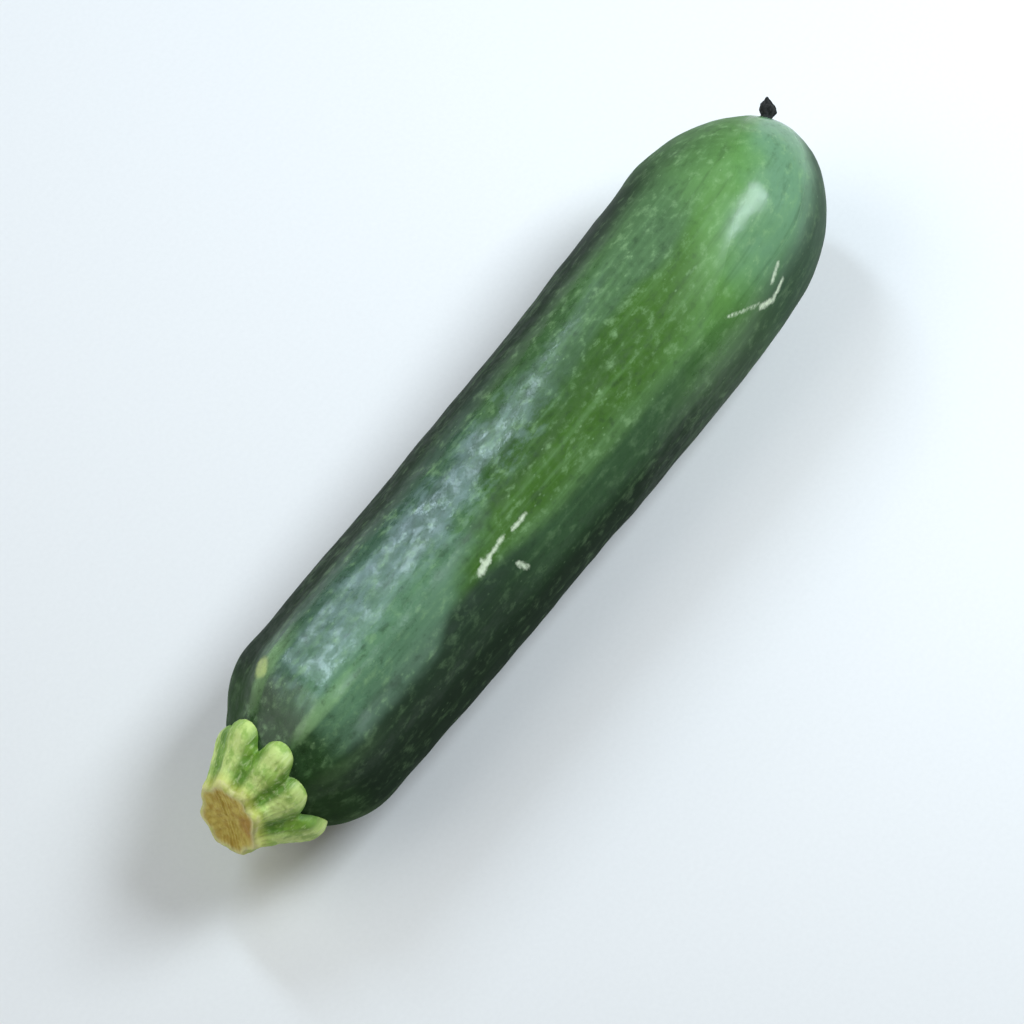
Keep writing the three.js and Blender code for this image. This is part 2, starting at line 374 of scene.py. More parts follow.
def lay_on_spine(piece):
    straight = points_of(piece)
    keep_values(piece, "grown", straight)
    on_fruit = np.clip(straight[:, 0], 0, FRUIT_LENGTH)
    slant = SLANT / girth(on_fruit) * (1 - fade(on_fruit, 0, SLANT_LENGTH))
    ready = straight.copy()
    ready[:, 0] += STEM_LENGTH + slant * straight[:, 1]
    move_points(piece, ready)
    apply_modifier(piece, "bend", "CURVE", object=spine, deform_axis="POS_X")
    laid = points_of(piece)
    bow = BELLY_BOW * ((on_fruit - BELLY_MIDDLE) / BELLY_REACH) ** 2
    laid[:, 2] += girth(on_fruit) - middle_height + bow - FLAT_DEPTH
    move_points(piece, laid)


def distance_to_solid(piece, node):
    solid = BVHTree.FromObject(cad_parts[node], bpy.context.evaluated_depsgraph_get())
    gaps = [solid.find_nearest(vertex.co)[3] for vertex in piece.data.vertices]
    return max(gaps) / MM


lay_on_spine(fruit)
resting = points_of(fruit)
resting[:, 2] = np.maximum(resting[:, 2], 0)
move_points(fruit, resting)
print("fruit: at most", round(distance_to_solid(fruit, "fruit"), 2), "mm off its solid")

# %% [markdown]
# ## The stem
#
# The cut stem is a stub with one fat ridge for each lobe that it spreads over the shoulder. Narrow
# clefts part the lobes. It is drawn out of a ring like the fruit: rings on the cut face, along the
# flaring neck, round the lobes' ends and back underneath. Each ring is then shaped by direction, as
# pulling the ridges out and pressing the clefts in would do. Subdivision would round the clefts off
# and is slow on an end where so many edges meet, so the rings are fine enough from the start. Small
# lumps, fibres along the neck and the torn surface of the cut come last.

# %% Outline of the stem in one direction
CUT_RADIUS = 8.0
CUT_RIDGE = 1.0
CUT_DISH = 0.6
CUT_BEVEL = 0.8
NECK_RADIUS = 8.4
NECK_RIDGE = 1.3
FLARE_POWER = 1.35
CLEFT_SHARPNESS = 2.4
LOBE_THICKNESS = 3.0
LOBE_ROUNDING = 2.6
CLEFT_THICKNESS = 1.6
ROOT_DEPTH = 0.6
FACE_SHARES = np.linspace(0, 1, 17)[1:]
NECK_SHARES = np.linspace(0.03, 0.96, 26)
END_SHARES = np.linspace(0, 1, 12)
UNDER_SHARES = np.array([0.75, 0.4, 0.15])


def shoulder_place(radius):
    place = np.zeros_like(radius)
    # the girth there depends on the place, and a few rounds settle both
    for _ in range(4):
        share = 1 - (radius / girth(place)) ** 2
        place = SHOULDER_LENGTH * (1 - share ** (1 / SHOULDER_POWER))
    return place


def shoulder_slope(radius, step=0.1):
    return (shoulder_place(radius + step) - shoulder_place(radius - step)) / (2 * step)


# each ring has a place, a radius, and how far it has climbed: to 1 on the cut, to 2 on the neck, to 3 on
# the lobes' ends and to 4 underneath
def stem_rings(angle):
    lobe, cleft, off = nearest_lobe(angle)
    crest = 1 - off**CLEFT_SHARPNESS
    ridge = 0.5 * np.cos(math.pi * off)
    cut = CUT_RADIUS + CUT_RIDGE * ridge
    neck = NECK_RADIUS + NECK_RIDGE * ridge
    reach = CLEFT_REACH[cleft] + (LOBE_REACH[lobe] - CLEFT_REACH[cleft]) * crest
    thickness = CLEFT_THICKNESS + (LOBE_THICKNESS - CLEFT_THICKNESS) * crest
    rings = []
    for t in FACE_SHARES:
        rings.append((np.full_like(cut, CUT_DISH * (1 - t**2) - STEM_LENGTH), cut * t, t))
    ends = []
    for t in END_SHARES:
        under = reach - LOBE_ROUNDING * crest * (1 - math.sin(t * math.pi / 2))
        slope = shoulder_slope(under)
        height = thickness * math.cos(t * math.pi / 2) / np.hypot(1, slope)
        place = shoulder_place(under) - height + ROOT_DEPTH * t
        ends.append((place, under + slope * height, 2 + t))
    brow_place, brow_radius, _ = ends[0]
    start = CUT_BEVEL - STEM_LENGTH
    for t in NECK_SHARES:
        place = start + (brow_place - start) * t
        rings.append((place, neck + (brow_radius - neck) * t**FLARE_POWER, 1 + t))
    for t in UNDER_SHARES:
        ends.append((shoulder_place(reach * t) + ROOT_DEPTH, reach * t, 4 - t))
    return rings + ends, ridge + 0.5


# %% Straight stem
STEM_SIDES = 288
plain_rings, _ = stem_rings(np.zeros(1))
stem_outline = [(float(place[0]), float(radius[0])) for place, radius, _ in plain_rings]
stem_outline = [(CUT_DISH - STEM_LENGTH, 0), *stem_outline, (ROOT_DEPTH, 0)]
stem = draw_out("courgette_stem", stem_outline, STEM_SIDES)
ring_count = len(plain_rings)
stem_points = points_of(stem)
turns = np.arctan2(stem_points[:STEM_SIDES, 2], stem_points[:STEM_SIDES, 1])
shaped_rings, crest = stem_rings(turns)
climb = np.zeros(len(stem_points))
crests = np.ones(len(stem_points))
for number, (place, radius, share) in enumerate(shaped_rings):
    ring = slice(number * STEM_SIDES, (number + 1) * STEM_SIDES)
    stem_points[ring] = np.stack([place, radius * np.cos(turns), radius * np.sin(turns)], axis=1)
    climb[ring] = share
    crests[ring] = crest
# the two middle points come last: the one underneath, then the one on the cut
climb[-2:] = 4, 0
move_points(stem, stem_points)
keep_values(stem, "climb", climb)
keep_values(stem, "crest", crests)
print("stem:", ring_count, "rings,", len(stem.data.polygons), "faces")

# %% Fibres, lumps and the torn cut
FIBRE_COUNTS = 47, 61, 83
FIBRE_HEIGHT = 0.05
FIBRES_START = 1.0, 1.15
FIBRES_END = 2.2, 2.9
TEAR_HEIGHT = 0.12
TEARS_END = 0.85, 1.0
TEARS_SIDE = 3.1
TEARS_UP = 2.7
TEARS_SLANTED = 5.3, -4.1
FLESH_LUMP_SIZE = 4.5
FLESH_LUMP_HEIGHT = 1.0


def values_of(piece, name):
    values = np.empty(len(piece.data.vertices), np.float32)
    piece.data.attributes[name].data.foreach_get("value", values)
    return values


crumple(stem, cloud("flesh_lumps", FLESH_LUMP_SIZE, 2), FLESH_LUMP_HEIGHT)
stem_points = points_of(stem)
turns = np.arctan2(stem_points[:, 2], stem_points[:, 1])
stem_climb = values_of(stem, "climb")
fibres = sum(np.cos(count * turns + count) for count in FIBRE_COUNTS) * FIBRE_HEIGHT
on_neck = fade(stem_climb, *FIBRES_START) * (1 - fade(stem_climb, *FIBRES_END))
stem_radius = np.maximum(np.hypot(stem_points[:, 1], stem_points[:, 2]), 1)
stem_points[:, 1:] *= (1 + on_neck * fibres / stem_radius)[:, None]
tears = np.sin(stem_points[:, 1] * TEARS_SIDE + 1) * np.sin(stem_points[:, 2] * TEARS_UP)
tears += np.sin(stem_points[:, 1:] @ TEARS_SLANTED)
stem_points[:, 0] += TEAR_HEIGHT * tears * (1 - fade(stem_climb, *TEARS_END))
move_points(stem, stem_points)
lay_on_spine(stem)
print("stem: at most", round(distance_to_solid(stem, "stem"), 2), "mm off its solid")

# %% [markdown]
# ## The flower's remnant
#
# What is left of the flower is a shrivelled black knob: narrow where it joins the fruit, swollen
# above, and drawn out to a leaning point. It is drawn out of a small ring, folded by direction with
# a twist, and crumpled by a Displace modifier.

# %% Remnant
REMNANT_HEIGHT = 5.4
REMNANT_LEAN = 0.9
REMNANT_FOLDS = 5
REMNANT_FOLD_DEPTH = 0.2
REMNANT_TWIST = 1.1
REMNANT_SIDES = 40
CREASE_SIZE = 0.9
CREASE_HEIGHT = 0.6
# heights above the fruit's end and radii, from the foot to the point
REMNANT_OUTLINE = [
    (-0.8, 0), (-0.4, 1.7), (0.1, 1.55), (0.6, 1.35), (1.1, 1.4), (1.6, 1.75), (2.1, 2.05),
    (2.6, 2.1), (3.1, 1.9), (3.6, 1.5), (4.1, 1.1), (4.6, 0.75), (5.0, 0.45), (5.3, 0.2), (5.4, 0),
]
remnant_outline = [(FRUIT_LENGTH + height, radius) for height, radius in REMNANT_OUTLINE]
remnant = draw_out("courgette_flower_remnant", remnant_outline, REMNANT_SIDES)
apply_modifier(remnant, "smooth", "SUBSURF", levels=2, render_levels=2)
remnant_points = points_of(remnant)
share = np.clip((remnant_points[:, 0] - FRUIT_LENGTH) / REMNANT_HEIGHT, 0, 1)
turns = np.arctan2(remnant_points[:, 2], remnant_points[:, 1]) + REMNANT_TWIST * share
folds = 1 + REMNANT_FOLD_DEPTH * share * np.cos(REMNANT_FOLDS * turns)
remnant_points[:, 1:] *= folds[:, None]
remnant_points[:, 1] += REMNANT_LEAN * share**2
move_points(remnant, remnant_points)
crumple(remnant, cloud("withered", CREASE_SIZE, 2), CREASE_HEIGHT)
lay_on_spine(remnant)
print("remnant: at most", round(distance_to_solid(remnant, "flower_remnant"), 2), "mm off its solid")
bpy.data.objects.remove(spine)

# %% [markdown]
# ## Tools for the finishes
#
# A finish is a chain of nodes, and most of the chain is the same few steps: read an attribute, make
# a noise, turn a range of values into a soft mask, mix two colours by a mask. A small helper class
# with a method for each step keeps the recipes below as short as a list of what is seen on the skin.

# %% Finish helper
class Finish:
    def __init__(self, name):
        self.material = bpy.data.materials.new(name)
        self.material.use_nodes = True
        self.tree = self.material.node_tree
        self.shader = self.tree.nodes["Principled BSDF"]

    def feed(self, socket, value):
        if isinstance(value, bpy.types.NodeSocket):
            self.tree.links.new(value, socket)
        else:
            socket.default_value = value

    def step(self, kind, inputs, output=0, **settings):
        node = self.tree.nodes.new(kind)
        for key, value in settings.items():
            setattr(node, key, value)
        for key, value in inputs.items():
            self.feed(node.inputs[key], value)
        return node.outputs[output]

    def attribute(self, name, output):
        return self.step("ShaderNodeAttribute", {}, output, attribute_name=name)

    def split(self, vector):
        node = self.tree.nodes.new("ShaderNodeSeparateXYZ")
        self.feed(node.inputs[0], vector)
        return node.outputs[0], node.outputs[1], node.outputs[2]

    def math(self, operation, first, second=0.0):
        return self.step("ShaderNodeMath", {0: first, 1: second}, operation=operation)

    def times(self, *values):
        total = values[0]
        for value in values[1:]:
            total = self.math("MULTIPLY", total, value)
        return total

    def plus(self, *values):
        total = values[0]
        for value in values[1:]:
            total = self.math("ADD", total, value)
        return total

    def stretch(self, vector, factors):
        return self.step("ShaderNodeVectorMath", {0: vector, 1: factors}, operation="MULTIPLY")

    def noise(self, vector, scale, detail=2.0, roughness=0.5):
        inputs = {"Vector": vector, "Scale": scale, "Detail": detail, "Roughness": roughness}
        return self.step("ShaderNodeTexNoise", inputs)

    def spots(self, vector, scale):
        return self.step("ShaderNodeTexVoronoi", {"Vector": vector, "Scale": scale}, "Distance")

    def soft(self, value, low, high, start=0.0, end=1.0):
        inputs = {"Value": value, 1: low, 2: high, 3: start, 4: end}
        return self.step("ShaderNodeMapRange", inputs, interpolation_type="SMOOTHSTEP")

    def mix(self, share, first, second):
        node = self.tree.nodes.new("ShaderNodeMix")
        node.data_type = "RGBA"
        self.feed(node.inputs[0], share)
        self.feed(node.inputs[6], first)
        self.feed(node.inputs[7], second)
        return node.outputs[2]

    def bump(self, height, distance, strength=1.0, under=None):
        inputs = {"Height": height, "Distance": distance, "Strength": strength}
        if under is not None:
            inputs["Normal"] = under
        return self.step("ShaderNodeBump", inputs)

    def cover(self, piece):
        piece.data.materials.clear()
        piece.data.materials.append(self.material)

    def report(self, what):
        print(f"{self.material.name}: {what}, {len(self.tree.nodes)} nodes so far")


def tint(red, green, blue):
    """A colour as it is seen on a screen, from 0 to 255, as the linear values that a shader takes."""
    seen = np.array([red, green, blue]) / 255
    linear = np.where(seen > 0.04045, ((seen + 0.055) / 1.055) ** 2.4, seen / 12.92)
    return (*map(float, linear), 1.0)


# %% [markdown]
# ## Skin: its greens, and the light and shade painted on them
#
# The skin is blue-green on its back near the stem, grass green along the middle of its back, and pale
# green at the blossom end, paler still round its highlight as painted light, with a rim of painted
# shade there. It is dark green on its flanks, made blackish by painted shade on the side turned from
# the light and low on both sides, with a paler strip along the bottom. Painted vertex colours could
# say that, but soft masks on the straightened form stay sharp at any mesh size. One kind runs along
# the fruit, in millimetres from the stem. The other says how far a place faces a given direction
# round the fruit, up to 1. A slow noise makes both wander.
# Each mask has a range: it is empty at the first number and full at the second, unless two more
# numbers give its values there.

# %% Masks along and round the fruit
LEFT_DIRECTION = 20
RIGHT_DIRECTION = 200
WANDER_SCALE = 0.05
WANDER_ROUND = 0.1
WANDER_ALONG = 40.0
TILT = -42.0
TILT_LOWEST = -0.2
skin = Finish("waxy_skin")
grown = skin.attribute("grown", "Vector")
along, across, over = skin.split(grown)
girth_here = skin.math("SQRT", skin.plus(skin.times(across, across), skin.times(over, over)))
wander = skin.math("SUBTRACT", skin.noise(grown, WANDER_SCALE, 3.0), 0.5)


def facing(degrees):
    turn = math.radians(degrees)
    part = skin.plus(skin.times(across, math.cos(turn)), skin.times(over, math.sin(turn)))
    return skin.plus(skin.math("DIVIDE", part, girth_here), skin.times(wander, WANDER_ROUND))


left = facing(LEFT_DIRECTION)
right = facing(RIGHT_DIRECTION)
tilt = skin.times(skin.math("MAXIMUM", left, TILT_LOWEST), TILT)
slanted = skin.plus(along, skin.times(wander, WANDER_ALONG), tilt)
skin.report("masks")

# %% Greens of the back
RIGHT_GREEN = tint(74, 111, 54)
LEFT_GREEN = tint(72, 106, 61)
LEFT_SIDE = -0.2, 0.3
GRASS_GREEN = tint(54, 96, 2)
GRASS_DIRECTION = 106
GRASS_STRIP = 0.915, 0.975
GREY_GREEN = tint(93, 129, 96)
LEFT_GREY_GREEN = tint(65, 95, 73)
RIGHT_GREY_GREEN = tint(76, 104, 78)
GREY_LEFT_SIDE = 0.2, 0.7
GREY_RIGHT_SIDE = 0.08, 0.3
GREY_HALF = 74, 58
colour = skin.mix(skin.soft(left, *LEFT_SIDE), RIGHT_GREEN, LEFT_GREEN)
colour = skin.mix(skin.soft(facing(GRASS_DIRECTION), *GRASS_STRIP), colour, GRASS_GREEN)
grey = skin.mix(skin.soft(left, *GREY_LEFT_SIDE), GREY_GREEN, LEFT_GREY_GREEN)
grey = skin.mix(skin.soft(right, *GREY_RIGHT_SIDE), grey, RIGHT_GREY_GREEN)
colour = skin.mix(skin.soft(slanted, *GREY_HALF), colour, grey)
skin.report("greens of the back")

# %% Shaded left side and light tip
SHADED_FLANK_GREEN = tint(20, 46, 19)
SHADE_SIDE = 0.02, 0.22
SHADE_START = 52, 66
SHADE_END = 142, 118
SHADE = 0.3
TIP_GREEN = tint(96, 142, 70)
TIP = 130, 172
left_shade = skin.times(skin.soft(along, *SHADE_START), skin.soft(along, *SHADE_END))
left_shade = skin.times(left_shade, skin.soft(left, *SHADE_SIDE), SHADE)
colour = skin.mix(left_shade, colour, SHADED_FLANK_GREEN)
tip = skin.soft(slanted, *TIP)
colour = skin.mix(tip, colour, TIP_GREEN)
skin.report("left side and tip")

# %% Dark flanks, with painted shade
PALER_SHADED_FLANK_GREEN = tint(43, 76, 38)
FLANK_PALER_ALONG = 62, 88
FLANK_SIDE = 0.3, 0.44
FLANK_AT_TIP = 0.2
TOWARDS_TIP = 118, 182
BEFORE_POLE = 199, 158
BULGE_START = 46, 56
BULGE_END = 92, 66
BULGE = 0.16
# Painted shade: the flanks' own dark green is made blackish on the side turned from the light.
shaded_flank_colour = skin.mix(skin.soft(along, *FLANK_PALER_ALONG), SHADED_FLANK_GREEN, PALER_SHADED_FLANK_GREEN)
bulge = skin.times(skin.soft(along, *BULGE_START), skin.soft(along, *BULGE_END), BULGE)
right_flank_shade = skin.soft(skin.plus(right, bulge), *FLANK_SIDE)
right_flank_shade = skin.times(right_flank_shade, skin.soft(slanted, *TOWARDS_TIP, 1, FLANK_AT_TIP))
before_pole = skin.soft(along, *BEFORE_POLE)
right_flank_shade = skin.times(right_flank_shade, before_pole)
colour = skin.mix(right_flank_shade, colour, shaded_flank_colour)
skin.report("flanks")

# %% Painted shade, darkest green low on both sides
LOW_SHADE_GREEN = tint(6, 32, 4)
LOW_RIGHT_DIRECTION = 205
LOW_RIGHT = 0.52, 0.78
LOW_LEFT_DIRECTION = 0
LOW_LEFT = 0.52, 0.8
LOW_AT_TIP = 0.4
# Painted shade: the skin low on both sides is made the darkest green.
low_right_shade = skin.soft(facing(LOW_RIGHT_DIRECTION), *LOW_RIGHT)
low_left_shade = skin.soft(facing(LOW_LEFT_DIRECTION), *LOW_LEFT)
low_side_shade = skin.math("MAXIMUM", low_right_shade, low_left_shade)
low_side_shade = skin.times(low_side_shade, skin.soft(slanted, *TOWARDS_TIP, 1, LOW_AT_TIP), before_pole)
colour = skin.mix(low_side_shade, colour, LOW_SHADE_GREEN)
skin.report("low sides")

# %% Pale blossom end with painted light, and its rim of painted shade
PALE_END_LIT_GREEN = tint(107, 146, 110)
PALE_END = 160, 188
PALE_SIDE = 0.62, 0.2
PALE_ELSEWHERE = 0.15
PALE_LOW = 0.45
RIM_SHADE_GREEN = tint(30, 58, 32)
RIM_SIDE = 0.38, 0.74
RIM_START = 140, 168
RIM_END = 204.5, 198
RIM = 0.92
TOP_EDGE_SIDE = 0.3, 0.68
TOP_EDGE_START = 172, 186
TOP_EDGE_SHADE = 0.35
# Partly painted light: the end's own pale green is laid on most where the cap faces its highlight.
pale_lit_end = skin.times(skin.soft(slanted, *PALE_END), skin.soft(left, *PALE_SIDE, PALE_ELSEWHERE, 1))
pale_lit_end = skin.times(pale_lit_end, skin.soft(low_side_shade, 0, 1, 1, PALE_LOW))
colour = skin.mix(pale_lit_end, colour, PALE_END_LIT_GREEN)
# Painted shade: the right rim and the top edge on the left of the blossom end are darkened.
rim_shade = skin.times(skin.soft(along, *RIM_START), skin.soft(along, *RIM_END), skin.soft(right, *RIM_SIDE))
colour = skin.mix(skin.times(rim_shade, RIM), colour, RIM_SHADE_GREEN)
top_edge_shade = skin.times(skin.soft(left, *TOP_EDGE_SIDE), skin.soft(along, *TOP_EDGE_START), TOP_EDGE_SHADE)
colour = skin.mix(top_edge_shade, colour, RIM_SHADE_GREEN)
skin.report("blossom end")

# %% Painted shade round the stem, and pale rib starts partly painted highlight
COLLAR_SHADE_GREEN = tint(32, 62, 20)
COLLAR_SHADE_RANGE = 22, 12
COLLAR_SHADE_SHARE = 0.9
COLLAR_WANDER = 14.0
RIB_HIGHLIGHT_GREEN = tint(142, 178, 120)
RIB_CREST = 0.6, 1.0
RIB_PAINT_START = 8, 15
RIB_PAINT_END = 36, 14
RIB_HIGHLIGHT_SHARE = 0.6
RIB_IN_DARK = 0.15
near_stem = skin.plus(along, skin.times(wander, COLLAR_WANDER))
# Painted shade: a dark green ring on the skin round the stem, between its lobes and the ribs.
colour = skin.mix(skin.soft(near_stem, *COLLAR_SHADE_RANGE, 0, COLLAR_SHADE_SHARE), colour, COLLAR_SHADE_GREEN)
# The dark parts: flanks, low sides and rim, dark green with painted shade on them.
dark = skin.math("MAXIMUM", skin.math("MAXIMUM", right_flank_shade, low_side_shade), rim_shade)
# Partly painted highlight: the ribs' own pale starts near the stem, brightened as light on their crests.
rib_start_highlight = skin.times(skin.soft(near_stem, *RIB_PAINT_START), skin.soft(near_stem, *RIB_PAINT_END))
rib_start_highlight = skin.times(rib_start_highlight, skin.soft(skin.attribute("rib", "Fac"), *RIB_CREST))
rib_start_highlight = skin.times(rib_start_highlight, skin.soft(dark, 0, 1, 1, RIB_IN_DARK), RIB_HIGHLIGHT_SHARE)
colour = skin.mix(rib_start_highlight, colour, RIB_HIGHLIGHT_GREEN)
skin.report("stem end")

# %% [markdown]
# ## Skin: streaks, flecks, wax with a painted highlight, and scuffs
#
# Close up, a courgette's skin is never even: faint streaks run along it, hundreds of pale flecks sit
# in it, and a thin bluish wax dulls it in patches. Along the long highlight of the back that wax is
# painted paler and bluer, as a painted highlight. Streaks are a noise that is stretched along the
# fruit, flecks are the middles of Voronoi cells, and the wax is a cloudy mask. The dark parts, dark
# green with painted shade, keep only traces of the pale marks. The scuffs come last.

# %% Streaks and mottle
PALE_STREAK = tint(124, 164, 106)
DARK_STREAK = tint(24, 48, 18)
STREAK_FREQUENCY = 0.02, 0.42, 0.42
PALE_MOTTLE = tint(146, 182, 126)
DARK_MOTTLE = tint(16, 42, 10)
MOTTLE_FREQUENCY = 0.28, 0.42, 0.42
PALE_MARKS_IN_DARK = 0.4
DARK_MOTTLE_AT_TIP = 0.35
plainness = skin.soft(dark, 0, 1, 1, PALE_MARKS_IN_DARK)
streaks = skin.noise(skin.stretch(grown, STREAK_FREQUENCY), 1.0, 3.0, 0.6)
pale_share = skin.times(skin.soft(streaks, 0.5, 0.75, 0, 0.24), plainness)
colour = skin.mix(pale_share, colour, PALE_STREAK)
colour = skin.mix(skin.soft(streaks, 0.5, 0.25, 0, 0.32), colour, DARK_STREAK)
mottle = skin.noise(skin.stretch(grown, MOTTLE_FREQUENCY), 1.0, 4.0, 0.62)
pale_share = skin.times(skin.soft(mottle, 0.5, 0.78, 0, 0.45), plainness)
colour = skin.mix(pale_share, colour, PALE_MOTTLE)
tip_calm = skin.soft(tip, 0, 1, 1, DARK_MOTTLE_AT_TIP)
colour = skin.mix(skin.times(skin.soft(mottle, 0.48, 0.26, 0, 0.45), tip_calm), colour, DARK_MOTTLE)
skin.report("streaks and mottle")

# %% Flecks
FLECK = tint(150, 184, 130)
FLECK_FREQUENCY = 0.36, 0.62, 0.62
FLECK_RADIUS = 0.22
FLECK_SHARE = 0.4
crowding = skin.soft(skin.noise(grown, 0.22, 1.0), 0.35, 0.7)
from_fleck = skin.spots(skin.stretch(grown, FLECK_FREQUENCY), 1.0)
flecks = skin.soft(from_fleck, skin.times(crowding, FLECK_RADIUS), 0.0)
colour = skin.mix(skin.times(flecks, plainness, FLECK_SHARE), colour, FLECK)
skin.report("flecks")

# %% Wax, partly a painted highlight
WAX_HIGHLIGHT_TINT = tint(160, 182, 186)
WAX_HIGHLIGHT_DIRECTION = 80
WAX_HIGHLIGHT_STRIP = 0.92, 0.985
WAX_HIGHLIGHT_START = 12, 22
WAX_HIGHLIGHT_END = 120, 96
WAX_HIGHLIGHT_FREQUENCY = 0.17, 0.3, 0.3
WAX_HIGHLIGHT_SHARE = 0.22
# Partly painted highlight: the pale bluish wax lies along the long highlight of the back.
wax_highlight_zone = skin.times(skin.soft(along, *WAX_HIGHLIGHT_START), skin.soft(along, *WAX_HIGHLIGHT_END))
wax_highlight_zone = skin.times(wax_highlight_zone, skin.soft(facing(WAX_HIGHLIGHT_DIRECTION), *WAX_HIGHLIGHT_STRIP))
blotches = skin.noise(skin.stretch(grown, WAX_HIGHLIGHT_FREQUENCY), 1.0, 5.0, 0.7)
wax_and_highlight = skin.times(wax_highlight_zone, skin.soft(blotches, 0.42, 0.66))
colour = skin.mix(skin.times(wax_and_highlight, WAX_HIGHLIGHT_SHARE), colour, WAX_HIGHLIGHT_TINT)
skin.report("wax_and_highlight")

# %% Corky scuffs and scar
SCUFF_CORK = tint(224, 235, 202)
SCUFF_EDGE = 0.68, 1.06
SCUFF_SHARE = 0.9
SCAR_CORK = tint(186, 200, 122)
SCAR_EDGE = 0.5, 1.15
SCAR_SHARE = 0.85
RAGGEDNESS = 0.55
ragged = skin.times(skin.math("SUBTRACT", skin.noise(grown, 0.8, 4.0, 0.65), 0.5), RAGGEDNESS)
scuffed = skin.soft(skin.plus(skin.attribute("scuff", "Fac"), ragged), *SCUFF_EDGE)
colour = skin.mix(skin.times(scuffed, SCUFF_SHARE), colour, SCUFF_CORK)
scarred = skin.soft(skin.plus(skin.attribute("scar", "Fac"), ragged), *SCAR_EDGE)
colour = skin.mix(skin.times(scarred, SCAR_SHARE), colour, SCAR_CORK)
skin.feed(skin.shader.inputs["Base Color"], colour)
skin.report("scuffs and scar")

# %% [markdown]
# ## Skin: gloss and grain
#
# A courgette shines, but not all over alike: it is glossy near the stem and at the blossom end, and
# duller between them, low on its sides and where it is scuffed or waxed. A faint bloom breaks the long
# highlight up. So the roughness is a base with a share added for each of these. Pores and soft dents
# that are too fine for the mesh are bumps.

# %% Gloss of the skin
BASE_ROUGHNESS = 0.19
SPECULAR_LEVEL = 0.35
DULL_START = 43, 72
DULL_START_SLOPE = -115.0
DULL_END = 167, 155
DULL_END_SLOPE = -60.0
DULL_SHARE = 0.4
CAP_SHARE = 0.03
BLOOM_FREQUENCY = 0.35, 0.55, 0.55
BLOOM_END = 156, 136
BLOOM_SHARE = 0.16
DULLED = [(wax_and_highlight, 0.12), (low_side_shade, 0.5), (scuffed, 0.3), (rim_shade, 0.4)]
after_start = skin.plus(along, skin.times(left, DULL_START_SLOPE))
before_cap = skin.plus(along, skin.times(left, DULL_END_SLOPE))
dull_stretch = skin.times(skin.soft(after_start, *DULL_START), skin.soft(before_cap, *DULL_END))
roughness = skin.plus(BASE_ROUGHNESS, skin.times(dull_stretch, DULL_SHARE))
for mask, share in DULLED:
    roughness = skin.plus(roughness, skin.times(mask, share))
roughness = skin.plus(roughness, skin.soft(before_cap, *reversed(DULL_END), 0, CAP_SHARE))
bloom = skin.noise(skin.stretch(grown, BLOOM_FREQUENCY), 1.0, 3.0, 0.6)
bloom_share = skin.soft(bloom, 0.35, 0.65, 0, BLOOM_SHARE)
roughness = skin.plus(roughness, skin.times(bloom_share, skin.soft(along, *BLOOM_END)))
skin.feed(skin.shader.inputs["Roughness"], roughness)
skin.shader.inputs["Specular IOR Level"].default_value = SPECULAR_LEVEL
skin.report("gloss")

# %% Grain of the skin
PORE_SCALE = 0.9
PORE_DEPTH = 0.1 * MM
PORE_STRENGTH = 0.22
DENT_FREQUENCY = 0.14, 0.32, 0.32
DENT_DEPTH = 0.5 * MM
DENT_STRENGTH = 0.2
DENTS_END = 132, 104
DENTS_AT_TIP = 0.15
pores = skin.bump(skin.noise(grown, PORE_SCALE, 3.0, 0.6), PORE_DEPTH, PORE_STRENGTH)
dents = skin.noise(skin.stretch(grown, DENT_FREQUENCY), 1.0, 2.0)
dents = skin.times(dents, skin.soft(along, *DENTS_END, DENTS_AT_TIP, 1))
skin.feed(skin.shader.inputs["Normal"], skin.bump(dents, DENT_DEPTH, DENT_STRENGTH, pores))
skin.cover(fruit)
skin.report("whole skin")

# %% [markdown]
# ## Stem and remnant finishes
#
# The stem's ridges are pale yellow-green and its clefts a deeper green. Its cut has dried to ochre
# and brown round a pale rim. The stem kept two values for this when it was shaped: crest, from 0 in
# a cleft to 1 on a ridge, and climb, which counts from the middle of the cut over its rim to the lobes.
# The remnant is black with a little grey dust.

# %% Stem flesh
CLEFT_GREEN = tint(92, 136, 28)
RIDGE_GREEN = tint(200, 220, 126)
PATCH_GREEN = tint(132, 172, 58)
PALE_FIBRE = tint(230, 238, 178)
NECK_YELLOW = tint(212, 204, 96)
STEM_FIBRE_FREQUENCY = 0.12, 1.3, 1.3
flesh = Finish("stem_flesh")
stem_grown = flesh.attribute("grown", "Vector")
ridge = flesh.attribute("crest", "Fac")
climbed = flesh.attribute("climb", "Fac")
fibre = flesh.noise(flesh.stretch(stem_grown, STEM_FIBRE_FREQUENCY), 1.0, 3.0, 0.6)
patches = flesh.noise(stem_grown, 0.26, 3.0, 0.6)
stem_colour = flesh.mix(flesh.soft(ridge, 0.1, 0.8), CLEFT_GREEN, RIDGE_GREEN)
stem_colour = flesh.mix(flesh.soft(patches, 0.44, 0.62, 0, 0.75), stem_colour, PATCH_GREEN)
stem_colour = flesh.mix(flesh.soft(fibre, 0.5, 0.75, 0, 0.4), stem_colour, PALE_FIBRE)
stem_colour = flesh.mix(flesh.soft(climbed, 1.4, 1.0, 0, 0.6), stem_colour, NECK_YELLOW)
flesh.report("ridges and clefts")

